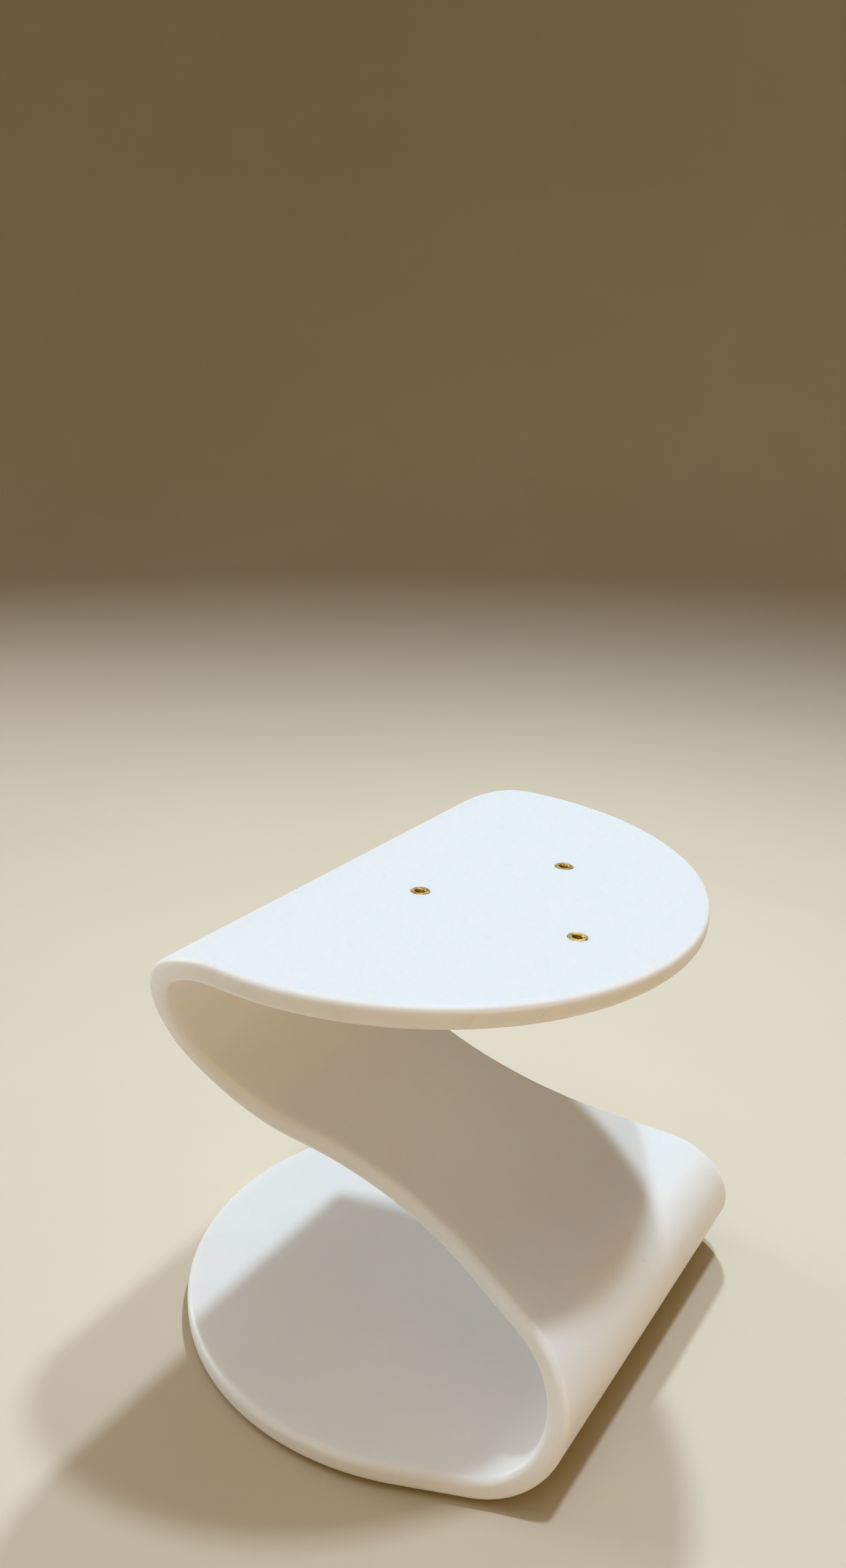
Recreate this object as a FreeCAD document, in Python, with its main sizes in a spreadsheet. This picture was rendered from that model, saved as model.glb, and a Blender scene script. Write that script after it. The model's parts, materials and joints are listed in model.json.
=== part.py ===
import FreeCAD, Part
import math
import os

import Sketcher
from FreeCAD import Placement, Rotation, Vector

# A free-standing display plinth. One white slab is cut flat as two discs joined by a narrow neck,
# then bent into a Z: the upper disc is the display plate, the neck slopes down between two bends,
# and the lower disc is the foot. Brass inserts take the display's and the pedestal's screws, and
# four pads under the foot keep it off the surface below.
#
# Frame: +Z up, the origin on the floor under the centre of the base disc, +X towards the lower
# bend, and the XZ plane is the plane of symmetry. Millimetres and degrees.

DIMENSIONS = (
    ("disc_radius", 150.0, "radius of the display plate and of the base plate"),
    ("slab_thickness", 12.0, "standard sheet thickness"),
    ("edge_radius", 4.0, "round on both edges of the slab"),
    ("crown_height", 251.0, "underside of the base plate to the crown of the upper bend"),
    ("upper_bend_radius", 65.0, "upper bend, at the middle of the slab"),
    ("lower_bend_radius", 35.0, "lower bend, at the middle of the slab"),
    ("upper_bend_offset", -37.5, "X of the upper bend's axis"),
    ("lower_bend_offset", 82.5, "X of the lower bend's axis"),
    ("top_disc_offset", -24.5, "X of the centre of the display plate"),
    ("top_fall_angle", 2.75, "fall of the display plate towards its free edge"),
    ("neck_angle_top", 29.5, "neck's edge to its centre line, on the display plate's side"),
    ("neck_angle_base", 20.0, "neck's edge to its centre line, on the base plate's side"),
    ("neck_radius", 209.0, "hollow of the neck's edge at the waist"),
    ("pad_reveal", 2.0, "height of the base plate above the floor"),
    ("pad_recess_depth", 1.0, "depth of each pad's recess"),
    ("pad_radius", 10.0, "foot pad"),
    ("pad_clearance", 0.2, "radial gap between a pad and its recess"),
    ("pad_chamfer", 0.6, "chamfer round a pad's lower edge"),
    ("pad_spread_along", 70.0, "foot pads, X from the centre of the base disc"),
    ("pad_spread_across", 85.0, "foot pads, Y from the centre of the base disc"),
    ("insert_radius", 5.0, "outside of a brass insert"),
    ("insert_length", 9.0, "length of a brass insert"),
    ("insert_bore_radius", 2.5, "minor radius of the M6 thread"),
    ("insert_lead_in", 0.4, "chamfer at the mouth of the thread"),
    ("insert_groove_depth", 0.6, "adhesive groove round an insert"),
    ("insert_groove_width", 2.0, "adhesive groove round an insert"),
    ("insert_glue_gap", 0.1, "adhesive film round an insert"),
    ("display_circle_offset", 60.0, "display inserts' centre, from the disc's centre to the free edge"),
    ("display_circle_radius", 50.0, "circle of the display plate's inserts"),
    ("anchor_circle_radius", 50.0, "circle of the base plate's inserts"),
)

DISPLAY_INSERT_ANGLES = (90.0, 210.0, 330.0)
ANCHOR_INSERT_ANGLES = (45.0, 135.0, 225.0, 315.0)
FOOT_PADS = (
    ("foot_pad_bend_front", 1, -1),
    ("foot_pad_bend_back", 1, 1),
    ("foot_pad_tip_front", -1, -1),
    ("foot_pad_tip_back", -1, 1),
)

BEND_STEP = math.radians(7.5)
STRAIGHT_STEP = 10.0
SEW_TOLERANCE = 0.005
FLAT_WITHIN = math.radians(0.01)


def make_sheet(doc):
    """The spreadsheet of driving dimensions, one row each: name, value, meaning."""
    sheet = doc.addObject("Spreadsheet::Sheet", "dims")
    for row, (alias, value, meaning) in enumerate(DIMENSIONS, start=1):
        sheet.set(f"A{row}", alias)
        sheet.set(f"B{row}", str(value))
        sheet.set(f"C{row}", meaning)
        sheet.setAlias(f"B{row}", alias)
    doc.recompute()
    return sheet


def flattened(face):
    """The same face on a true plane where it is flat, or the face itself where it is curved."""
    u_first, u_last, v_first, v_last = face.ParameterRange
    normals = [face.normalAt(u, v) for u in (u_first, u_last) for v in (v_first, v_last)]
    if max(normal.getAngle(normals[0]) for normal in normals) > FLAT_WITHIN:
        return face
    edges = [edge.Curve.toShape(*edge.ParameterRange) for edge in face.OuterWire.OrderedEdges]
    return Part.Face(Part.Wire(edges))


class Leg:
    """One straight run or one bend of the slab's side profile, on the middle surface."""

    def __init__(self, start, x, z, heading, curvature, length):
        self.start = start
        self.x = x
        self.z = z
        self.heading = heading
        self.curvature = curvature
        self.length = length

    def at(self, station):
        """Position and heading at a station on this leg."""
        run = station - self.start
        heading = self.heading + self.curvature * run
        if self.curvature == 0.0:
            x = self.x + run * math.cos(heading)
            z = self.z + run * math.sin(heading)
        else:
            x = self.x + (math.sin(heading) - math.sin(self.heading)) / self.curvature
            z = self.z - (math.cos(heading) - math.cos(self.heading)) / self.curvature
        return x, z, heading

    def next_leg(self, curvature, length):
        """The leg that carries on from the end of this one."""
        end = self.start + self.length
        x, z, heading = self.at(end)
        return Leg(end, x, z, heading, curvature, length)


class Ribbon:
    """The slab as a flat blank that follows the side profile.

    A station is the distance along the middle surface from the free tip of the display plate.
    An offset is the distance from the middle surface, positive on the face that carries the
    display. An inset is how far a line lies inside the blank's outline.
    """

    def __init__(self, sheet):
        self.radius = sheet.get("disc_radius")
        self.half_thickness = sheet.get("slab_thickness") / 2
        self.edge_radius = sheet.get("edge_radius")
        self.fall = math.radians(sheet.get("top_fall_angle"))
        self.legs = self.profile(sheet)
        last = self.legs[-1]
        self.length = last.start + last.length
        self.base_station = self.length - self.radius
        self.neck_radius = sheet.get("neck_radius")
        self.neck_top = math.radians(sheet.get("neck_angle_top"))
        self.neck_base = math.radians(sheet.get("neck_angle_base"))
        self.neck_station, self.neck_height = self.neck_centre()

    def profile(self, sheet):
        """Display plate, upper bend, web, lower bend and base plate, end to end."""
        upper = sheet.get("upper_bend_radius")
        lower = sheet.get("lower_bend_radius")
        reveal = sheet.get("pad_reveal")
        upper_x = sheet.get("upper_bend_offset")
        lower_x = sheet.get("lower_bend_offset")
        upper_z = reveal + sheet.get("crown_height") - self.half_thickness - upper
        lower_z = reveal + self.half_thickness + lower
        across = lower_x - upper_x
        down = upper_z - lower_z
        between = math.hypot(across, down)
        web_fall = math.atan2(down, across) - math.asin((upper + lower) / between)
        web_length = math.sqrt(between**2 - (upper + lower) ** 2)

        bend_x = upper_x + upper * math.sin(self.fall)
        bend_z = upper_z + upper * math.cos(self.fall)
        to_centre = (sheet.get("top_disc_offset") - bend_x) / math.cos(self.fall)
        plate = self.radius + to_centre
        tip_x = bend_x + plate * math.cos(self.fall)
        tip_z = bend_z - plate * math.sin(self.fall)

        display = Leg(0.0, tip_x, tip_z, math.pi - self.fall, 0.0, plate)
        bend_up = display.next_leg(1 / upper, upper * (math.pi - web_fall + self.fall))
        web = bend_up.next_leg(0.0, web_length)
        bend_down = web.next_leg(-1 / lower, lower * (math.pi - web_fall))
        base = bend_down.next_leg(0.0, lower_x + self.radius)
        return (display, bend_up, web, bend_down, base)

    def neck_centre(self):
        """Centre of the waist's arc in the flat blank: its station and its height off the axis."""
        reach = self.radius + self.neck_radius
        top = reach + self.radius * math.sin(self.neck_top)
        base = reach - self.base_station * math.sin(self.neck_base)
        both = math.sin(self.neck_top + self.neck_base)
        station = (top * math.cos(self.neck_base) - base * math.cos(self.neck_top)) / both
        height = (top * math.sin(self.neck_base) + base * math.sin(self.neck_top)) / both
        return station, height

    def half_width(self, station, inset=0.0):
        """Half the blank's width: disc, straight edge, hollow waist, straight edge, disc."""
        disc = self.radius - inset
        hollow = self.neck_radius + inset
        from_top = station - self.radius
        from_base = station - self.base_station
        from_neck = station - self.neck_station
        sin_top = math.sin(self.neck_top)
        sin_base = math.sin(self.neck_base)
        if from_top <= disc * sin_top:
            return math.sqrt(max(disc**2 - from_top**2, 0.0))
        if from_neck <= -hollow * sin_top:
            return (disc - from_top * sin_top) / math.cos(self.neck_top)
        if from_neck <= hollow * sin_base:
            return self.neck_height - math.sqrt(hollow**2 - from_neck**2)
        if from_base <= -disc * sin_base:
            return (disc + from_base * sin_base) / math.cos(self.neck_base)
        return math.sqrt(max(disc**2 - from_base**2, 0.0))

    def leg_at(self, station):
        """The leg that a station lies on."""
        for leg in reversed(self.legs):
            if station >= leg.start:
                return leg
        return self.legs[0]

    def point(self, station, offset, across=0.0, leg=None):
        """A point of the bent slab."""
        x, z, heading = (leg or self.leg_at(station)).at(station)
        return Vector(x + offset * math.sin(heading), across, z - offset * math.cos(heading))

    def corner(self, leg, station, level, side):
        """The rounded edge between the slab's side and one of its faces: a quarter ellipse."""
        straight = self.half_thickness - self.edge_radius
        inner = side * self.half_width(station, self.edge_radius)
        outer = side * self.half_width(station)
        curve = Part.BezierCurve()
        curve.setPoles(
            [
                self.point(station, level * straight, outer, leg),
                self.point(station, level * self.half_thickness, outer, leg),
                self.point(station, level * self.half_thickness, inner, leg),
            ]
        )
        curve.setWeight(2, math.sqrt(0.5))
        return curve.toShape()

    def section(self, leg, station):
        """The slab's outline across its width at a station, with rounded edges."""
        inner = self.half_width(station, self.edge_radius)
        outer = self.half_width(station)
        straight = self.half_thickness - self.edge_radius
        lines = []
        for side in (-1, 1):
            lines.append((-straight, side * outer, straight, side * outer))
        for level in (-self.half_thickness, self.half_thickness):
            lines.append((level, -inner, level, inner))
        edges = []
        for offset_a, across_a, offset_b, across_b in lines:
            start = self.point(station, offset_a, across_a, leg)
            end = self.point(station, offset_b, across_b, leg)
            edges.append(Part.LineSegment(start, end).toShape())
        for side in (-1, 1):
            for level in (-1, 1):
                edges.append(self.corner(leg, station, level, side))
        return Part.Wire(Part.__sortEdges__(edges))

    def loft(self, leg, start, end):
        """The skin of one leg from start to end, with no end caps; flat faces are true planes."""
        step = STRAIGHT_STEP if leg.curvature == 0.0 else BEND_STEP / abs(leg.curvature)
        count = max(2, math.ceil((end - start) / step))
        stations = [start + (end - start) * i / count for i in range(count + 1)]
        skin = Part.makeLoft([self.section(leg, s) for s in stations], False, False)
        return [flattened(face) for face in skin.Faces]

    def half_disc(self, leg, centre_station, side):
        """The round end of a plate: its rim profile turned half way about the disc's axis."""
        inner = self.radius - self.edge_radius
        straight = self.half_thickness - self.edge_radius

        def rim(offset, across):
            return self.point(centre_station, offset, side * across, leg)

        reach = self.edge_radius * math.cos(math.pi / 4)
        profile = []
        for level in (-1, 1):
            face = level * self.half_thickness
            corner = Part.Arc(
                rim(face, inner),
                rim(level * (straight + reach), inner + reach),
                rim(level * straight, self.radius),
            )
            profile.append(Part.LineSegment(rim(face, 0.0), rim(face, inner)).toShape())
            profile.append(corner.toShape())
        profile.append(
            Part.LineSegment(rim(-straight, self.radius), rim(straight, self.radius)).toShape()
        )
        axis = rim(self.half_thickness, 0.0) - rim(-self.half_thickness, 0.0)
        wire = Part.Wire(Part.__sortEdges__(profile))
        return wire.revolve(rim(0.0, 0.0), axis, 180).Faces

    def solid(self):
        """The whole bent slab as one closed solid."""
        display, bend_up, web, bend_down, base = self.legs
        faces = self.half_disc(display, self.radius, -1)
        faces += self.loft(display, self.radius, display.length)
        for leg in (bend_up, web, bend_down):
            faces += self.loft(leg, leg.start, leg.start + leg.length)
        faces += self.loft(base, base.start, self.base_station)
        faces += self.half_disc(base, self.base_station, 1)
        skin = Part.makeCompound(faces)
        skin.sewShape(SEW_TOLERANCE)
        slab = Part.makeSolid(skin.Shells[0])
        if slab.Volume < 0:
            slab.reverse()
        return slab.removeSplitter()


def make_blank(doc, ribbon):
    """The bent slab before its pockets are cut."""
    blank = doc.addObject("Part::Feature", "bent_blank")
    blank.Shape = ribbon.solid()
    return blank


def add_pocket_tool(doc, name, radius, depth, overshoot, placement):
    """A cylinder that cuts one round pocket: it starts overshoot above the face and runs inwards."""
    tool = doc.addObject("Part::Cylinder", name)
    tool.setExpression("Radius", radius)
    tool.setExpression("Height", f"{depth} + {overshoot}")
    tool.Placement = placement
    return tool


def circle_places(centre, tilt, radius, angles):
    """Positions on a circle in the plane through centre that is turned by tilt."""
    places = []
    for angle in angles:
        turn = math.radians(angle)
        spoke = Vector(radius * math.cos(turn), radius * math.sin(turn), 0)
        places.append(centre + tilt.multVec(spoke))
    return places


def insert_placements(sheet, ribbon):
    """Where each insert's mouth lies, with local +Z out of the slab."""
    fall = Rotation(Vector(0, 1, 0), sheet.get("top_fall_angle"))
    station = ribbon.radius - sheet.get("display_circle_offset")
    top = ribbon.point(station, ribbon.half_thickness)
    display = circle_places(top, fall, sheet.get("display_circle_radius"), DISPLAY_INSERT_ANGLES)
    down = Rotation(Vector(1, 0, 0), 180)
    underside = Vector(0, 0, sheet.get("pad_reveal"))
    anchors = circle_places(
        underside, Rotation(), sheet.get("anchor_circle_radius"), ANCHOR_INSERT_ANGLES
    )
    return [Placement(at, fall) for at in display], [Placement(at, down) for at in anchors]


def pad_placements(sheet):
    """Where each foot pad stands on the floor, by name."""
    along = sheet.get("pad_spread_along")
    across = sheet.get("pad_spread_across")
    return {
        name: Placement(Vector(x * along, y * across, 0), Rotation())
        for name, x, y in FOOT_PADS
    }


def cut_slab(doc, sheet, blank, inserts, pads):
    """The slab with its insert pockets and pad recesses."""
    tools = []
    inwards = Rotation(Vector(1, 0, 0), 180)
    for number, placement in enumerate(inserts, start=1):
        tools.append(
            add_pocket_tool(
                doc,
                f"insert_pocket_{number}",
                "dims.insert_radius + dims.insert_glue_gap",
                "dims.insert_length",
                "dims.insert_length",
                placement.multiply(Placement(Vector(0, 0, sheet.get("insert_length")), inwards)),
            )
        )
    for name, placement in pads.items():
        tools.append(
            add_pocket_tool(
                doc,
                f"{name}_recess",
                "dims.pad_radius + dims.pad_clearance",
                "dims.pad_recess_depth",
                "dims.pad_reveal",
                placement,
            )
        )
    pockets = doc.addObject("Part::MultiFuse", "pockets")
    pockets.Shapes = tools
    slab = doc.addObject("Part::Cut", "slab")
    slab.Base = blank
    slab.Tool = pockets
    slab.Label = "ribbon_slab"
    return slab


def origin_plane(body, role):
    """One of a body's own origin planes."""
    return next(feature for feature in body.Origin.OriginFeatures if feature.Role == role)


def circles_sketch(body, name, aliases):
    """A sketch on the body's XY plane of circles about its origin, one for each alias."""
    sketch = body.newObject("Sketcher::SketchObject", name)
    sketch.AttachmentSupport = (origin_plane(body, "XY_Plane"), [""])
    sketch.MapMode = "FlatFace"
    for alias in aliases:
        circle = sketch.addGeometry(Part.Circle(Vector(0, 0, 0), Vector(0, 0, 1), 1.0), False)
        sketch.addConstraint(Sketcher.Constraint("Coincident", circle, 3, -1, 1))
        size = sketch.addConstraint(Sketcher.Constraint("Radius", circle, 1.0))
        sketch.renameConstraint(size, alias)
        sketch.setExpression(f"Constraints.{alias}", f"dims.{alias}")
    return sketch


def groove_sketch(body):
    """The adhesive groove's section: a rectangle half way down the insert, on the XZ plane."""
    sketch = body.newObject("Sketcher::SketchObject", "groove_section")
    sketch.AttachmentSupport = (origin_plane(body, "XZ_Plane"), [""])
    sketch.MapMode = "FlatFace"
    corners = [Vector(4, -5, 0), Vector(6, -5, 0), Vector(6, -3, 0), Vector(4, -3, 0)]
    for i in range(4):
        sketch.addGeometry(Part.LineSegment(corners[i], corners[(i + 1) % 4]), False)
    for i in range(4):
        sketch.addConstraint(Sketcher.Constraint("Coincident", i, 2, (i + 1) % 4, 1))
    for i, direction in enumerate(("Horizontal", "Vertical", "Horizontal", "Vertical")):
        sketch.addConstraint(Sketcher.Constraint(direction, i))
    sizes = (
        ("floor_radius", ("DistanceX", -1, 1, 0, 1, 4.0)),
        ("outer_radius", ("DistanceX", -1, 1, 0, 2, 6.0)),
        ("groove_top", ("DistanceY", 2, 1, -1, 1, 3.0)),
        ("groove_bottom", ("DistanceY", 0, 1, -1, 1, 5.0)),
    )
    for name, terms in sizes:
        index = sketch.addConstraint(Sketcher.Constraint(*terms))
        sketch.renameConstraint(index, name)
    half = "dims.insert_groove_width / 2"
    sketch.setExpression("Constraints.floor_radius", "dims.insert_radius - dims.insert_groove_depth")
    sketch.setExpression("Constraints.outer_radius", "dims.insert_radius + dims.insert_groove_depth")
    sketch.setExpression("Constraints.groove_top", f"dims.insert_length / 2 - {half}")
    sketch.setExpression("Constraints.groove_bottom", f"dims.insert_length / 2 + {half}")
    return sketch


def edge_names(shape, radius, level=0.0):
    """Names of the circular edges of one radius at one height."""
    names = []
    for number, edge in enumerate(shape.Edges, start=1):
        circle = edge.Curve
        if not isinstance(circle, Part.Circle):
            continue
        if abs(circle.Center.z - level) < 0.01 and abs(circle.Radius - radius) < 0.01:
            names.append(f"Edge{number}")
    return names


def make_insert(doc, name, placement):
    """A brass insert: a sleeve with a lead-in at its mouth and a groove that keys the adhesive."""
    body = doc.addObject("PartDesign::Body", name)
    ring = circles_sketch(body, "sleeve_section", ("insert_radius", "insert_bore_radius"))
    sleeve = body.newObject("PartDesign::Pad", "sleeve")
    sleeve.Profile = ring
    sleeve.setExpression("Length", "dims.insert_length")
    sleeve.Reversed = True
    doc.recompute()
    mouth = edge_names(sleeve.Shape, ring.getDatum("insert_bore_radius").Value)
    lead_in = body.newObject("PartDesign::Chamfer", "lead_in")
    lead_in.Base = (sleeve, mouth)
    lead_in.setExpression("Size", "dims.insert_lead_in")
    keyed = body.newObject("PartDesign::Groove", "adhesive_groove")
    keyed.Profile = groove_sketch(body)
    keyed.ReferenceAxis = (keyed.Profile[0], ["V_Axis"])
    keyed.Angle = 360
    body.Tip = keyed
    body.Placement = placement
    return body


def make_insert_group(doc, label, placements):
    """All the inserts of one face, as separate solids in one node."""
    group = doc.addObject("Part::Compound", label)
    group.Links = [
        make_insert(doc, f"{label}_{number}", placement)
        for number, placement in enumerate(placements, start=1)
    ]
    group.Label = label
    return group


def make_pad(doc, name, placement):
    """A round rubber pad, chamfered where it meets the floor."""
    body = doc.addObject("PartDesign::Body", name)
    disc = circles_sketch(body, "pad_section", ("pad_radius",))
    pad = body.newObject("PartDesign::Pad", "pad")
    pad.Profile = disc
    pad.setExpression("Length", "dims.pad_reveal + dims.pad_recess_depth")
    doc.recompute()
    rim = edge_names(pad.Shape, disc.getDatum("pad_radius").Value)
    soft_edge = body.newObject("PartDesign::Chamfer", "soft_edge")
    soft_edge.Base = (pad, rim)
    soft_edge.setExpression("Size", "dims.pad_chamfer")
    body.Tip = soft_edge
    body.Placement = placement
    body.Label = name
    return body


def check(doc, nodes):
    """Stop if any object failed to compute or any sub-part is not a valid shape."""
    for item in doc.Objects:
        if "Invalid" in item.State or "Error" in item.State:
            raise RuntimeError(f"{item.Name} did not compute: {item.State}")
    for node in nodes:
        if node.Shape.isNull() or not node.Shape.isValid() or not node.Shape.Solids:
            raise RuntimeError(f"{node.Label} is not a valid solid")


def main():
    doc = FreeCAD.newDocument("display_plinth")
    sheet = make_sheet(doc)
    ribbon = Ribbon(sheet)
    display, anchors = insert_placements(sheet, ribbon)
    pads = pad_placements(sheet)

    slab = cut_slab(doc, sheet, make_blank(doc, ribbon), display + anchors, pads)
    nodes = [
        slab,
        make_insert_group(doc, "display_inserts", display),
        make_insert_group(doc, "anchor_inserts", anchors),
    ]
    for name, placement in pads.items():
        nodes.append(make_pad(doc, name, placement))

    doc.recompute()
    check(doc, nodes)
    os.makedirs("parts", exist_ok=True)
    for node in nodes:
        node.Shape.exportStep(f"parts/{node.Label}.step")
        box = node.Shape.BoundBox
        print(node.Label, len(node.Shape.Solids), round(node.Shape.Volume, 1), box)


main()
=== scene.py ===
import json
import math

import bpy
from mathutils import Matrix, Vector


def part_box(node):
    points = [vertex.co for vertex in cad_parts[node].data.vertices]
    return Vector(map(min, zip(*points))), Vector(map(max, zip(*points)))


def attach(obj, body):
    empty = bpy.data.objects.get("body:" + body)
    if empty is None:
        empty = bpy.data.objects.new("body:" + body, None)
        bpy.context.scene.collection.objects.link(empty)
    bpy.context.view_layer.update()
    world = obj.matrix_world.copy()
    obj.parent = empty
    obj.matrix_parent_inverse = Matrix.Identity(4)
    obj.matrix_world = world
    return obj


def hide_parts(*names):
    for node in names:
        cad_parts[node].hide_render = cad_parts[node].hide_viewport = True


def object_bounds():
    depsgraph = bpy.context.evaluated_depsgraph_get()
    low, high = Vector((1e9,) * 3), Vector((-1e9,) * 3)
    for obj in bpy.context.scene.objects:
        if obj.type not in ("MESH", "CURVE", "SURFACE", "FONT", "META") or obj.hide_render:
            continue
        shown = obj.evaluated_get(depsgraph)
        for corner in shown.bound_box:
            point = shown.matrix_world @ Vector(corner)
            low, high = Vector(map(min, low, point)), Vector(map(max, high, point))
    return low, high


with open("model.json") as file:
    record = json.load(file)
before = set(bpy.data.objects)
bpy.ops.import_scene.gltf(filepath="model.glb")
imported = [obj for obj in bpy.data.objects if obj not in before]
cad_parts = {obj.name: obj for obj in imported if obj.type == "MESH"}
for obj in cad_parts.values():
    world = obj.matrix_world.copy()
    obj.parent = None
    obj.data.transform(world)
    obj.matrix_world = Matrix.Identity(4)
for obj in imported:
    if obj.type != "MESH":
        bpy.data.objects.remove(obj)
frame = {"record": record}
cad_low, cad_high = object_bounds()

# The display plinth's looks: the bent white slab with its pockets, the threaded brass inserts and
# the rubber foot pads. Metres, in the CAD model's frame: origin on the floor under the base disc,
# +X towards the lower bend, +Y to the back.

MM = 0.001

# Slab: driving dimensions, as the CAD model has them.
DISC_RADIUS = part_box("ribbon_slab")[1].y
SLAB_THICKNESS = 12.0 * MM
EDGE_RADIUS = 4.0 * MM
CROWN_HEIGHT = 251.0 * MM
UPPER_BEND_RADIUS = 65.0 * MM
LOWER_BEND_RADIUS = 35.0 * MM
UPPER_BEND_OFFSET = -37.5 * MM
LOWER_BEND_OFFSET = 82.5 * MM
TOP_DISC_OFFSET = -24.5 * MM
TOP_FALL = math.radians(2.75)
NECK_ANGLE_TOP = math.radians(29.5)
NECK_ANGLE_BASE = math.radians(20.0)
NECK_RADIUS = 209.0 * MM
PAD_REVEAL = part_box("ribbon_slab")[0].z

# Brass inserts and rubber pads.
INSERT_RADIUS = 5.0 * MM
INSERT_LENGTH = 9.0 * MM
INSERT_GLUE_GAP = 0.1 * MM
INSERT_LEAD_IN = 0.4 * MM
INSERT_GROOVE_DEPTH = 0.6 * MM
INSERT_GROOVE_WIDTH = 2.0 * MM
INSERT_KNURL_DEPTH = 0.25 * MM
INSERT_KNURL_TEETH = 12
INSERT_BEVEL = 0.2 * MM
THREAD_MINOR_RADIUS = 2.5 * MM
THREAD_MAJOR_RADIUS = 3.0 * MM
THREAD_PITCH = 1.0 * MM
THREAD_ROOT_REACH = 1.25
DISPLAY_INSERT_ANGLES = (90.0, 210.0, 330.0)
ANCHOR_INSERT_ANGLES = (45.0, 135.0, 225.0, 315.0)
PAD_RADIUS = 10.0 * MM
PAD_CLEARANCE = 0.2 * MM
PAD_RECESS_DEPTH = 1.0 * MM
PAD_EDGE_RADIUS = 0.6 * MM
PAD_BULGE = 0.12 * MM
PADS = {
    "pad_bend_front": "foot_pad_bend_front",
    "pad_bend_back": "foot_pad_bend_back",
    "pad_tip_front": "foot_pad_tip_front",
    "pad_tip_back": "foot_pad_tip_back",
}

# Mesh density, and the angles in degrees past which an edge is shaded crisp.
BEND_STEP = math.radians(3.0)
STRAIGHT_STEP = 5.0 * MM
FACE_STEPS = 26
CORNER_STEPS = 8
SIDE_STEPS = 2
FAN_STEPS = 96
ROUND_STEPS = 72
KNURL_ROWS = 6
THREAD_ROWS_PER_TURN = 10
SLAB_CRISP_ANGLE = 30.0
FITTING_CRISP_ANGLE = 40.0


class Leg:
    """One straight run or one bend of the slab's side profile, on the middle surface."""

    def __init__(self, start, x, z, heading, curvature, length):
        self.start = start
        self.x = x
        self.z = z
        self.heading = heading
        self.curvature = curvature
        self.length = length

    def at(self, station):
        """Position and heading at a station on this leg."""
        run = station - self.start
        heading = self.heading + self.curvature * run
        if self.curvature == 0.0:
            x = self.x + run * math.cos(heading)
            z = self.z + run * math.sin(heading)
        else:
            x = self.x + (math.sin(heading) - math.sin(self.heading)) / self.curvature
            z = self.z - (math.cos(heading) - math.cos(self.heading)) / self.curvature
        return x, z, heading

    def point(self, station, offset, across):
        """A point of the bent slab: offset is from the middle surface, towards the display's face."""
        x, z, heading = self.at(station)
        return Vector((x + offset * math.sin(heading), across, z - offset * math.cos(heading)))

    def next_leg(self, curvature, length):
        """The leg that carries on from the end of this one."""
        end = self.start + self.length
        x, z, heading = self.at(end)
        return Leg(end, x, z, heading, curvature, length)


def slab_legs():
    """Display plate, upper bend, web, lower bend and base plate, end to end."""
    half = SLAB_THICKNESS / 2
    upper_z = PAD_REVEAL + CROWN_HEIGHT - half - UPPER_BEND_RADIUS
    lower_z = PAD_REVEAL + half + LOWER_BEND_RADIUS
    across = LOWER_BEND_OFFSET - UPPER_BEND_OFFSET
    down = upper_z - lower_z
    between = math.hypot(across, down)
    both = UPPER_BEND_RADIUS + LOWER_BEND_RADIUS
    web_fall = math.atan2(down, across) - math.asin(both / between)
    web_length = math.sqrt(between**2 - both**2)

    bend_x = UPPER_BEND_OFFSET + UPPER_BEND_RADIUS * math.sin(TOP_FALL)
    bend_z = upper_z + UPPER_BEND_RADIUS * math.cos(TOP_FALL)
    plate = DISC_RADIUS + (TOP_DISC_OFFSET - bend_x) / math.cos(TOP_FALL)
    tip_x = bend_x + plate * math.cos(TOP_FALL)
    tip_z = bend_z - plate * math.sin(TOP_FALL)

    display = Leg(0.0, tip_x, tip_z, math.pi - TOP_FALL, 0.0, plate)
    upper_turn = math.pi - web_fall + TOP_FALL
    bend_up = display.next_leg(1 / UPPER_BEND_RADIUS, UPPER_BEND_RADIUS * upper_turn)
    web = bend_up.next_leg(0.0, web_length)
    lower_turn = math.pi - web_fall
    bend_down = web.next_leg(-1 / LOWER_BEND_RADIUS, LOWER_BEND_RADIUS * lower_turn)
    base = bend_down.next_leg(0.0, LOWER_BEND_OFFSET + DISC_RADIUS)
    return [display, bend_up, web, bend_down, base]


LEGS = slab_legs()
BASE_STATION = LEGS[-1].start + LEGS[-1].length - DISC_RADIUS


def neck_centre():
    """Centre of the waist's arc in the flat blank: its station and its height off the axis."""
    reach = DISC_RADIUS + NECK_RADIUS
    top = reach + DISC_RADIUS * math.sin(NECK_ANGLE_TOP)
    base = reach - BASE_STATION * math.sin(NECK_ANGLE_BASE)
    both = math.sin(NECK_ANGLE_TOP + NECK_ANGLE_BASE)
    station = (top * math.cos(NECK_ANGLE_BASE) - base * math.cos(NECK_ANGLE_TOP)) / both
    height = (top * math.sin(NECK_ANGLE_BASE) + base * math.sin(NECK_ANGLE_TOP)) / both
    return station, height


NECK_STATION, NECK_HEIGHT = neck_centre()


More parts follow.
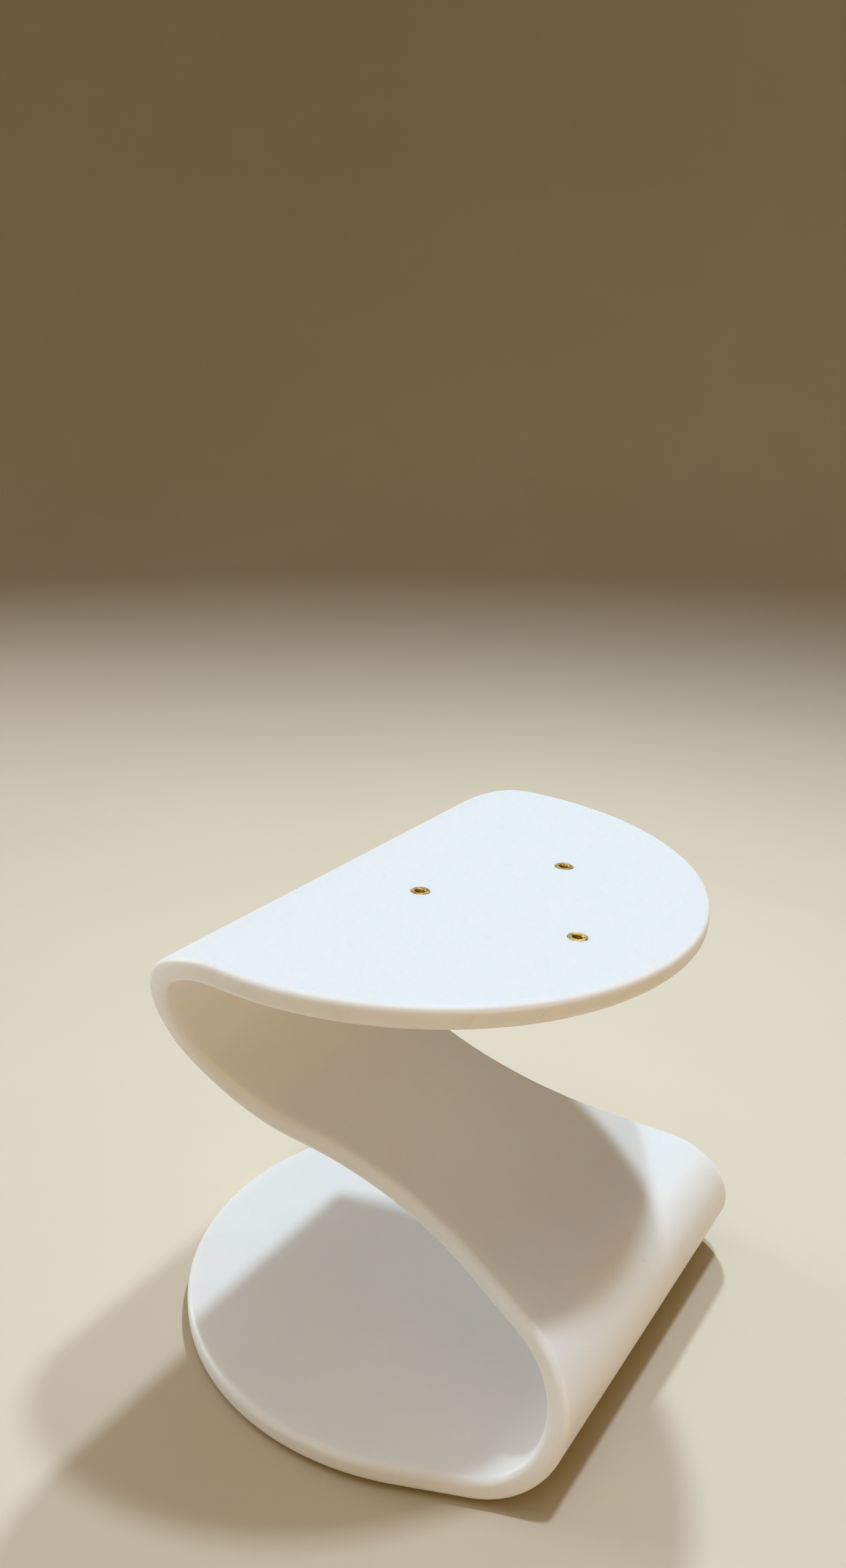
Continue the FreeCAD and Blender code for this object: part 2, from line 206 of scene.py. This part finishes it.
def half_width(station, inset=0.0):
    """Half the blank's width: disc, straight edge, hollow waist, straight edge, disc."""
    disc = DISC_RADIUS - inset
    hollow = NECK_RADIUS + inset
    from_top = station - DISC_RADIUS
    from_base = station - BASE_STATION
    from_neck = station - NECK_STATION
    sin_top = math.sin(NECK_ANGLE_TOP)
    sin_base = math.sin(NECK_ANGLE_BASE)
    if from_top <= disc * sin_top:
        return math.sqrt(max(disc**2 - from_top**2, 0.0))
    if from_neck <= -hollow * sin_top:
        return (disc - from_top * sin_top) / math.cos(NECK_ANGLE_TOP)
    if from_neck <= hollow * sin_base:
        return NECK_HEIGHT - math.sqrt(hollow**2 - from_neck**2)
    if from_base <= -disc * sin_base:
        return (disc + from_base * sin_base) / math.cos(NECK_ANGLE_BASE)
    return math.sqrt(max(disc**2 - from_base**2, 0.0))


def rim_profile():
    """The slab's outline from the middle of its display face, round the edge, to the middle of
    the other face: offset, inset of the rounded edge, and share of the flat face's half width."""
    half = SLAB_THICKNESS / 2
    straight = half - EDGE_RADIUS
    upper = [(half, EDGE_RADIUS, i / FACE_STEPS) for i in range(FACE_STEPS)]
    for i in range(CORNER_STEPS + 1):
        turn = math.pi / 2 * i / CORNER_STEPS
        offset = straight + EDGE_RADIUS * math.cos(turn)
        upper.append((offset, EDGE_RADIUS * (1 - math.sin(turn)), 1.0))
    side = [(straight - 2 * straight * i / SIDE_STEPS, 0.0, 1.0) for i in range(1, SIDE_STEPS)]
    lower = [(-offset, inset, share) for offset, inset, share in reversed(upper)]
    return upper + side + lower


def loft_stations():
    """Leg and station of every section between the centres of the two discs."""
    stations = []
    for leg in LEGS:
        start = max(leg.start, DISC_RADIUS)
        end = min(leg.start + leg.length, BASE_STATION)
        step = STRAIGHT_STEP if leg.curvature == 0.0 else BEND_STEP / abs(leg.curvature)
        count = max(1, math.ceil((end - start) / step))
        stations += [(leg, start + (end - start) * i / count) for i in range(count)]
    stations.append((LEGS[-1], BASE_STATION))
    return stations


def slab_mesh():
    """The bent slab as one closed mesh, in quads but for the triangles round the two disc centres:
    sections lofted between the centres, and half discs turned about them. The attribute "rim" is
    1 at the outermost edge and fades to 0 over two edge radii."""
    profile = rim_profile()
    last = len(profile) - 1
    points = []
    insets = []
    faces = []

    def add(point, inset):
        points.append(point)
        insets.append(inset)
        return len(points) - 1

    loops = []
    for leg, station in loft_stations():
        outer = half_width(station)
        right = []
        left = []
        for i, (offset, inset, share) in enumerate(profile):
            across = half_width(station, inset) * share
            right.append(add(leg.point(station, offset, across), outer - across))
            if i in (0, last):
                left.append(right[-1])
            else:
                left.append(add(leg.point(station, offset, -across), outer - across))
        loops.append((right, left))

    def bridge(first, second):
        for i in range(last):
            corners = [first[i], first[i + 1], second[i + 1], second[i]]
            faces.append(list(dict.fromkeys(corners)))

    for (right, left), (next_right, next_left) in zip(loops, loops[1:]):
        bridge(right, next_right)
        bridge(next_left, left)

    for leg, centre, side, (right, left) in (
        (LEGS[0], DISC_RADIUS, -1, loops[0]),
        (LEGS[-1], BASE_STATION, 1, loops[-1]),
    ):
        spokes = [right]
        for step in range(1, FAN_STEPS):
            turn = math.pi * step / FAN_STEPS
            spoke = [right[0]]
            for offset, inset, share in profile[1:last]:
                reach = (DISC_RADIUS - inset) * share
                station = centre + side * reach * math.sin(turn)
                point = leg.point(station, offset, reach * math.cos(turn))
                spoke.append(add(point, DISC_RADIUS - reach))
            spoke.append(right[last])
            spokes.append(spoke)
        spokes.append(left)
        for first, second in zip(spokes, spokes[1:]):
            if side > 0:
                bridge(first, second)
            else:
                bridge(second, first)

    mesh = bpy.data.meshes.new("slab")
    mesh.from_pydata(points, [], faces)
    rim = mesh.attributes.new("rim", "FLOAT", "POINT")
    rim_reach = 2 * EDGE_RADIUS
    rim.data.foreach_set("value", [max(0.0, 1 - inset / rim_reach) for inset in insets])
    mesh.validate()
    return mesh


def lathe_mesh(name, outline, radius_at=None, closed=True):
    """A mesh turned about Z from an outline of (radius, height) pairs, which is a closed ring or
    else is capped at both ends; radius_at may vary the radius by angle, as a thread or a knurl
    does."""
    points = []
    for row, (radius, height) in enumerate(outline):
        for step in range(ROUND_STEPS):
            turn = 2 * math.pi * step / ROUND_STEPS
            reach = radius_at(row, radius, height, turn) if radius_at else radius
            points.append((reach * math.cos(turn), reach * math.sin(turn), height))
    rows = len(outline)
    faces = []
    for row in range(rows if closed else rows - 1):
        below = row * ROUND_STEPS
        above = (row + 1) % rows * ROUND_STEPS
        for step in range(ROUND_STEPS):
            after = (step + 1) % ROUND_STEPS
            faces.append((below + step, below + after, above + after, above + step))
    if not closed:
        faces.append(tuple(reversed(range(ROUND_STEPS))))
        faces.append(tuple(range((rows - 1) * ROUND_STEPS, rows * ROUND_STEPS)))
    mesh = bpy.data.meshes.new(name)
    mesh.from_pydata(points, [], faces)
    mesh.validate()
    return mesh


def smooth(mesh, angle):
    """Smooth shading, with edges sharper than the angle in degrees kept crisp."""
    mesh.shade_smooth()
    mesh.set_sharp_from_angle(angle=math.radians(angle))


def add_piece(name, mesh, matrix, material, slot, *nodes):
    """A piece in its place that rides on the body and stands for its CAD nodes."""
    own = mesh.copy()
    own.name = name
    own.materials.append(material)
    piece = bpy.data.objects.new(name, own)
    piece.matrix_world = matrix
    bpy.context.scene.collection.objects.link(piece)
    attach(piece, "root")
    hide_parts(*nodes)


def turned_to(axis):
    """Rotation that takes +Z to an axis in the XZ plane."""
    return Vector((0, 0, 1)).rotation_difference(Vector(axis)).to_matrix().to_4x4()


def mount(name):
    """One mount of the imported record."""
    return next(m for m in frame["record"]["mounts"] if m["name"] == name)


def circle_matrices(mount_name, angles):
    """A matrix for each insert of a bolt circle: the origin at its mouth, +Z out of the slab."""
    pattern = mount(mount_name)
    tilt = turned_to(pattern["axis"])
    centre = Matrix.Translation(Vector(pattern["pos_m"]))
    radius = pattern["dims"]["pcd_mm"] / 2 * MM
    matrices = []
    for angle in angles:
        spin = Matrix.Rotation(math.radians(angle), 4, "Z")
        matrices.append(centre @ tilt @ spin @ Matrix.Translation(Vector((radius, 0, 0))))
    return matrices


def insert_outline():
    """Rows of a brass insert's section: up the outside, over the mouth and down the bore."""
    bottom = -INSERT_LENGTH
    middle = bottom / 2
    groove = INSERT_GROOVE_WIDTH / 2
    floor = INSERT_RADIUS - INSERT_GROOVE_DEPTH
    rows = [(THREAD_MAJOR_RADIUS + INSERT_BEVEL, bottom, "plain")]
    rows.append((INSERT_RADIUS - INSERT_BEVEL, bottom, "plain"))
    for low, high in ((bottom + INSERT_BEVEL, middle - groove), (middle + groove, -INSERT_BEVEL)):
        for i in range(KNURL_ROWS + 1):
            kind = "plain" if i in (0, KNURL_ROWS) else "knurl"
            rows.append((INSERT_RADIUS, low + (high - low) * i / KNURL_ROWS, kind))
        if low < middle - groove:
            rows.append((floor, middle - groove, "plain"))
            rows.append((floor, middle + groove, "plain"))
    rows.append((INSERT_RADIUS - INSERT_BEVEL, 0.0, "plain"))
    rows.append((THREAD_MINOR_RADIUS + INSERT_LEAD_IN, 0.0, "plain"))
    bore_top = -INSERT_LEAD_IN
    count = round((INSERT_LENGTH - INSERT_LEAD_IN) / THREAD_PITCH * THREAD_ROWS_PER_TURN)
    for i in range(count + 1):
        rows.append((THREAD_MINOR_RADIUS, bore_top - (bore_top - bottom) * i / count, "thread"))
    return rows


def insert_mesh():
    """A brass insert: knurled bands and an adhesive groove outside, an M6 thread inside."""
    rows = insert_outline()

    def radius_at(row, radius, height, turn):
        kind = rows[row][2]
        # A knurl is the mean of two helical waves that cross. A thread's groove is deepest at the
        # middle of its pitch, THREAD_ROOT_REACH sets its width, and it fades out at the mouth.
        if kind == "knurl":
            twist = height / INSERT_RADIUS
            left = math.cos(INSERT_KNURL_TEETH * (turn + twist))
            right = math.cos(INSERT_KNURL_TEETH * (turn - twist))
            return radius - INSERT_KNURL_DEPTH * (0.5 - 0.25 * (left + right))
        if kind == "thread":
            phase = (height / THREAD_PITCH - turn / (2 * math.pi)) % 1.0
            from_root = abs(2 * phase - 1)
            flank = min(1.0, max(0.0, THREAD_ROOT_REACH - 2 * from_root))
            fade = min(1.0, -height / THREAD_PITCH)
            return radius + (THREAD_MAJOR_RADIUS - THREAD_MINOR_RADIUS) * flank * fade
        return radius

    mesh = lathe_mesh("insert", [row[:2] for row in rows], radius_at)
    smooth(mesh, FITTING_CRISP_ANGLE)
    return mesh


def pad_mesh():
    """A rubber pad: flat under the foot, rounded at its lower edge, with a slightly bulged side."""
    top = PAD_REVEAL + PAD_RECESS_DEPTH
    outline = [(PAD_RADIUS - 3 * PAD_EDGE_RADIUS, 0.0)]
    for i in range(CORNER_STEPS + 1):
        turn = math.pi / 2 * i / CORNER_STEPS
        radius = PAD_RADIUS - PAD_EDGE_RADIUS * (1 - math.sin(turn))
        outline.append((radius, PAD_EDGE_RADIUS * (1 - math.cos(turn))))
    for i in range(1, CORNER_STEPS + 1):
        share = i / CORNER_STEPS
        height = PAD_EDGE_RADIUS + (top - PAD_EDGE_RADIUS) * share
        bulge = PAD_BULGE * math.sin(math.pi * share)
        outline.append((PAD_RADIUS + bulge, height))
    outline.append((PAD_RADIUS - PAD_EDGE_RADIUS, top))
    mesh = lathe_mesh("pad", outline, closed=False)
    smooth(mesh, FITTING_CRISP_ANGLE)
    return mesh


def pocket_cutter(display, anchors, pads):
    """One cutter for all the insert pockets and pad recesses, each with a broken edge."""
    wall = INSERT_RADIUS + INSERT_GLUE_GAP
    broken = 0.3 * MM
    pocket = [
        (wall, -INSERT_LENGTH),
        (wall, -broken),
        (wall + broken, 0.0),
        (wall + broken, INSERT_LENGTH / 2),
    ]
    recess_wall = PAD_RADIUS + PAD_CLEARANCE
    roof = PAD_REVEAL + PAD_RECESS_DEPTH
    recess = [
        (recess_wall + broken, -PAD_REVEAL),
        (recess_wall + broken, PAD_REVEAL),
        (recess_wall, PAD_REVEAL + broken),
        (recess_wall, roof),
    ]
    vertices = []
    faces = []
    cutters = [(pocket, matrix) for matrix in display + anchors]
    cutters += [(recess, matrix) for matrix in pads]
    for outline, matrix in cutters:
        mesh = lathe_mesh("cutter", outline, closed=False)
        start = len(vertices)
        vertices += [matrix @ vertex.co for vertex in mesh.vertices]
        faces += [[start + corner for corner in face.vertices] for face in mesh.polygons]
        bpy.data.meshes.remove(mesh)
    mesh = bpy.data.meshes.new("cutter")
    mesh.from_pydata(vertices, [], faces)
    cutter = bpy.data.objects.new("cutter", mesh)
    bpy.context.scene.collection.objects.link(cutter)
    return cutter


def cut_slab_mesh(cutter):
    """The slab's mesh with its pockets and recesses cut out."""
    blank = bpy.data.objects.new("blank", slab_mesh())
    bpy.context.scene.collection.objects.link(blank)
    cut = blank.modifiers.new("pockets", "BOOLEAN")
    cut.operation = "DIFFERENCE"
    cut.solver = "EXACT"
    cut.object = cutter
    evaluated = blank.evaluated_get(bpy.context.evaluated_depsgraph_get())
    mesh = bpy.data.meshes.new_from_object(evaluated)
    mesh.name = "slab_cut"
    for helper in (blank, cutter):
        bpy.data.objects.remove(helper)
    smooth(mesh, SLAB_CRISP_ANGLE)
    return mesh


class Graph:
    """A material's node tree, with short calls for the nodes used here."""

    def __init__(self, name):
        self.material = bpy.data.materials.new(name)
        self.material.use_nodes = True
        self.tree = self.material.node_tree
        self.shader = self.tree.nodes["Principled BSDF"]
        self.place = self.add("ShaderNodeTexCoord").outputs["Object"]

    def add(self, kind, inputs=None, **settings):
        """A node with its settings, and its inputs given as values or as sockets to link."""
        node = self.tree.nodes.new(kind)
        for name, value in settings.items():
            setattr(node, name, value)
        self.feed(node, inputs or {})
        return node

    def feed(self, node, inputs):
        """Set or link inputs of a node."""
        for name, value in inputs.items():
            if isinstance(value, bpy.types.NodeSocket):
                self.tree.links.new(value, node.inputs[name])
            else:
                node.inputs[name].default_value = value

    def shade(self, **inputs):
        """Set or link inputs of the shader; underscores stand for spaces."""
        self.feed(self.shader, {name.replace("_", " "): value for name, value in inputs.items()})

    def noise(self, scale, detail=3.0, roughness=0.5, distortion=0.0, place=None):
        """Noise between 0 and 1 at so many features a metre."""
        inputs = {
            "Vector": place or self.place,
            "Scale": scale,
            "Detail": detail,
            "Roughness": roughness,
            "Distortion": distortion,
        }
        return self.add("ShaderNodeTexNoise", inputs).outputs[0]

    def cells(self, scale):
        """Voronoi cells: distance to the nearest seed, and a random number for each cell."""
        node = self.add("ShaderNodeTexVoronoi", {"Vector": self.place, "Scale": scale})
        parts = self.add("ShaderNodeSeparateColor", {"Color": node.outputs["Color"]})
        return node.outputs["Distance"], parts.outputs[0]

    def remap(self, value, low, high, to_low=0.0, to_high=1.0):
        """A smooth step of a value from one range to another."""
        inputs = {
            "Value": value,
            "From Min": low,
            "From Max": high,
            "To Min": to_low,
            "To Max": to_high,
        }
        node = self.add("ShaderNodeMapRange", inputs, interpolation_type="SMOOTHSTEP")
        return node.outputs["Result"]

    def maths(self, operation, first, second=0.0):
        """One arithmetic operation on two values."""
        node = self.add("ShaderNodeMath", operation=operation)
        self.feed(node, {0: first, 1: second})
        return node.outputs[0]

    def mix(self, factor, first, second):
        """A colour between two colours."""
        node = self.add("ShaderNodeMix", data_type="RGBA")
        self.feed(node, {0: factor, 6: first, 7: second})
        return node.outputs[2]

    def stretch(self, scale, turn=(0.0, 0.0, 0.0)):
        """The object's coordinates, scaled and turned, for grain that runs one way."""
        inputs = {"Vector": self.place, "Scale": scale, "Rotation": turn}
        return self.add("ShaderNodeMapping", inputs).outputs["Vector"]

    def bump(self, height, depth, normal=None):
        """Relief of a depth in metres, on top of another normal."""
        inputs = {"Height": height, "Distance": depth}
        if normal:
            inputs["Normal"] = normal
        return self.add("ShaderNodeBump", inputs).outputs["Normal"]


def colour(red, green, blue):
    """An opaque colour."""
    return (red, green, blue, 1.0)


def solid_surface_material():
    """White acrylic solid surface: nearly even, slightly translucent, finely sanded to a satin
    polish, with faint clouds, a few specks, hairline scratches and handled edges. The roughness
    stays above 0.28, because lower values on the rim drew contour lines in a denoised render."""
    white = colour(0.86, 0.857, 0.848)
    cloud_white = colour(0.845, 0.84, 0.828)
    mottle_grey = colour(0.79, 0.78, 0.76)
    speck_brown = colour(0.42, 0.38, 0.33)
    grime_brown = colour(0.60, 0.53, 0.44)
    mottle_strength = 0.10
    speck_strength = 0.55
    grime_strength = 0.16
    smoothest = 0.32
    roughest = 0.38
    edge_polish = 0.03
    scratch_dullness = 0.10
    wave_depth = 0.25 * MM
    peel_depth = 0.006 * MM
    scratch_depth = 0.004 * MM

    g = Graph("white_solid_surface")
    rim = g.add("ShaderNodeAttribute", attribute_name="rim").outputs["Fac"]

    clouds = g.noise(9.0, detail=5.0, roughness=0.6, distortion=0.6)
    base = g.mix(g.remap(clouds, 0.3, 0.7), cloud_white, white)
    mottle = g.noise(70.0, detail=3.0)
    base = g.mix(g.remap(mottle, 0.55, 0.8, 0.0, mottle_strength), base, mottle_grey)

    distance, draw = g.cells(95.0)
    chosen = g.remap(draw, 0.970, 0.975)
    speck = g.maths("MULTIPLY", chosen, g.remap(distance, 0.05, 0.03))
    base = g.mix(g.maths("MULTIPLY", speck, speck_strength), base, speck_brown)

    handled = g.noise(26.0, detail=6.0, roughness=0.65, distortion=1.2)
    grime = g.maths("MULTIPLY", g.remap(rim, 0.35, 1.0), g.remap(handled, 0.5, 0.75))
    base = g.mix(g.maths("MULTIPLY", grime, grime_strength), base, grime_brown)

    hairs = g.noise(1.0, detail=2.0, place=g.stretch((55.0, 2600.0, 2600.0), (0.0, 0.0, 0.5)))
    crossing = g.noise(1.0, detail=2.0, place=g.stretch((2300.0, 60.0, 2300.0), (0.0, 0.0, -0.35)))
    scratches = g.maths("MAXIMUM", g.remap(hairs, 0.70, 0.78), g.remap(crossing, 0.71, 0.79))

    smudges = g.noise(17.0, detail=5.0, roughness=0.6, distortion=0.8)
    rough = g.remap(smudges, 0.25, 0.8, smoothest, roughest)
    polished = g.maths("MULTIPLY", g.remap(rim, 0.4, 1.0), edge_polish)
    rough = g.maths("SUBTRACT", rough, polished)
    rough = g.maths("ADD", rough, g.maths("MULTIPLY", scratches, scratch_dullness))

    waves = g.bump(g.noise(16.0, detail=1.0), wave_depth)
    peel = g.bump(g.noise(900.0, detail=2.0), peel_depth, waves)
    sanded = g.bump(g.maths("SUBTRACT", 0.0, scratches), scratch_depth, peel)

    g.shade(
        Base_Color=base,
        Roughness=rough,
        Normal=sanded,
        Subsurface_Weight=0.6,
        Subsurface_Radius=(1.0, 0.85, 0.62),
        Subsurface_Scale=5.0 * MM,
        IOR=1.5,
    )
    return g.material


def brass_material():
    """Turned brass: fine tool rings about the insert's axis, dulled unevenly."""
    bright = colour(0.83, 0.62, 0.30)
    tarnished = colour(0.50, 0.34, 0.16)
    ring_pitch = 0.16 * MM
    ring_depth = 0.003 * MM
    grain_depth = 0.004 * MM

    g = Graph("turned_brass")
    parts = g.add("ShaderNodeSeparateXYZ", {"Vector": g.place})
    squares = [g.maths("POWER", parts.outputs[axis], 2.0) for axis in ("X", "Y")]
    radius = g.maths("SQRT", g.maths("ADD", *squares))
    rings = g.maths("SINE", g.maths("MULTIPLY", radius, 2 * math.pi / ring_pitch))
    tarnish = g.noise(420.0, detail=6.0, roughness=0.65, distortion=1.0)
    dull = g.remap(tarnish, 0.42, 0.72)
    turned = g.bump(rings, ring_depth)
    g.shade(
        Base_Color=g.mix(dull, bright, tarnished),
        Metallic=1.0,
        Roughness=g.remap(tarnish, 0.3, 0.8, 0.22, 0.48),
        Normal=g.bump(g.noise(4000.0), grain_depth, turned),
    )
    return g.material


def rubber_material():
    """Moulded black rubber with a fine grain and a little dust."""
    black = colour(0.030, 0.030, 0.032)
    dusty = colour(0.07, 0.068, 0.065)
    grain_depth = 0.02 * MM

    g = Graph("moulded_rubber")
    dust = g.remap(g.noise(700.0, detail=6.0, roughness=0.7), 0.52, 0.75)
    g.shade(
        Base_Color=g.mix(dust, black, dusty),
        Roughness=g.remap(g.noise(300.0), 0.3, 0.7, 0.62, 0.82),
        Normal=g.bump(g.noise(3200.0, detail=2.0), grain_depth),
        IOR=1.52,
    )
    return g.material


def floor_material():
    """A plain pale floor."""
    dark_cream = colour(0.58, 0.49, 0.37)
    light_cream = colour(0.62, 0.53, 0.41)
    grain_depth = 0.05 * MM

    g = Graph("pale_floor")
    tone = g.noise(3.0, detail=4.0)
    g.shade(
        Base_Color=g.mix(tone, dark_cream, light_cream),
        Roughness=0.7,
        Normal=g.bump(g.noise(350.0), grain_depth),
    )
    return g.material


def add_stage():
    """A round floor that curves up into a wall all round, so that every view has a backdrop."""
    hub_radius = 0.001
    near_radius = 0.5
    flat_radius = 3.0
    cove_radius = 1.2
    cove_steps = 16
    wall_height = 3.2
    outline = [(hub_radius, 0.0), (near_radius, 0.0), (flat_radius, 0.0)]
    for i in range(1, cove_steps + 1):
        turn = math.pi / 2 * i / cove_steps
        radius = flat_radius + cove_radius * math.sin(turn)
        outline.append((radius, cove_radius * (1 - math.cos(turn))))
    outline.append((flat_radius + cove_radius, wall_height))
    points = []
    faces = []
    for radius, height in outline:
        for step in range(ROUND_STEPS):
            turn = 2 * math.pi * step / ROUND_STEPS
            points.append((radius * math.cos(turn), radius * math.sin(turn), height))
    for row in range(len(outline) - 1):
        for step in range(ROUND_STEPS):
            after = (step + 1) % ROUND_STEPS
            low = row * ROUND_STEPS
            high = low + ROUND_STEPS
            faces.append((low + after, low + step, high + step, high + after))
    faces.append(tuple(range(ROUND_STEPS)))
    mesh = bpy.data.meshes.new("studio_floor")
    mesh.from_pydata(points, [], faces)
    mesh.shade_smooth()
    mesh.materials.append(floor_material())
    floor = bpy.data.objects.new("studio_floor", mesh)
    bpy.context.scene.collection.objects.link(floor)


def add_softbox(name, place, size, power, tint):
    """A square soft light at a place, turned towards the middle of the object."""
    light = bpy.data.lights.new(name, "AREA")
    light.shape = "SQUARE"
    light.size = size
    light.energy = power
    light.color = tint
    along = (cad_low + cad_high) / 2 - Vector(place)
    box = bpy.data.objects.new(name, light)
    box.location = place
    box.rotation_mode = "QUATERNION"
    box.rotation_quaternion = along.to_track_quat("-Z", "Y")
    bpy.context.scene.collection.objects.link(box)


def add_lights():
    """Two small cool keys high above and behind, large soft fills from overhead, the left and the
    front, a low warm fill from the right, and a dim warm room."""
    key_size = 0.10
    key_tint = (0.70, 0.85, 1.0)
    room_tint = colour(1.0, 0.92, 0.81)
    room_strength = 0.30

    add_softbox("key_above", (0.21, 0.21, 1.57), key_size, 12.5, key_tint)
    add_softbox("key_behind", (-0.23, 0.82, 1.58), key_size, 19.5, key_tint)
    add_softbox("overhead", (0.0, -0.24, 2.5), 1.6, 9.0, (0.96, 0.98, 1.0))
    add_softbox("left_fill", (-2.1, -0.3, 0.8), 1.2, 17.0, (0.95, 0.98, 1.0))
    add_softbox("front_fill", (-0.4, -1.9, 1.1), 1.4, 6.0, (1.0, 0.97, 0.92))
    add_softbox("right_fill", (1.8, -0.8, 0.18), 1.0, 10.0, (1.0, 0.60, 0.24))

    world = bpy.data.worlds.new("room")
    bpy.context.scene.world = world
    world.use_nodes = True
    background = world.node_tree.nodes["Background"]
    background.inputs["Color"].default_value = room_tint
    background.inputs["Strength"].default_value = room_strength
    bpy.context.scene.view_settings.view_transform = "Khronos PBR Neutral"


def add_camera():
    """The camera: above the front right of the plinth, tipped down, with the plinth low in view."""
    position = Vector((0.2994, -0.5220, 0.4885))
    azimuth = math.radians(31.59)
    elevation = math.radians(19.51)
    roll = math.radians(0.42)

    data = bpy.data.cameras.new("camera")
    data.sensor_width = 36.0
    data.lens = 28.95
    data.shift_y = 0.032
    data.clip_start = 0.01
    camera = bpy.data.objects.new("camera", data)
    turn = Matrix.Rotation(azimuth, 4, "Z")
    tip = Matrix.Rotation(math.pi / 2 - elevation, 4, "X")
    lean = Matrix.Rotation(roll, 4, "Z")
    camera.matrix_world = Matrix.Translation(position) @ turn @ tip @ lean
    bpy.context.scene.collection.objects.link(camera)
    bpy.context.scene.camera = camera


def build():
    """The plinth's pieces, each in its place."""
    display = circle_matrices("display_inserts", DISPLAY_INSERT_ANGLES)
    anchors = circle_matrices("base_anchors", ANCHOR_INSERT_ANGLES)
    pads = {}
    for name, node in PADS.items():
        low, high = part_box(node)
        pads[name] = Matrix.Translation(Vector(((low.x + high.x) / 2, (low.y + high.y) / 2, 0)))

    white = solid_surface_material()
    brass = brass_material()
    rubber = rubber_material()

    slab = cut_slab_mesh(pocket_cutter(display, anchors, list(pads.values())))
    add_piece("slab", slab, Matrix.Identity(4), white, "solid_surface", "ribbon_slab")

    sleeve = insert_mesh()
    for node, matrices in (("display_inserts", display), ("anchor_inserts", anchors)):
        for number, matrix in enumerate(matrices, start=1):
            name = f"{node[:-1]}_{number}"
            add_piece(name, sleeve, matrix, brass, "insert_brass", node)

    foot = pad_mesh()
    for name, matrix in pads.items():
        add_piece(name, foot, matrix, rubber, "pad_rubber", PADS[name])


build()
add_stage()
add_lights()
add_camera()
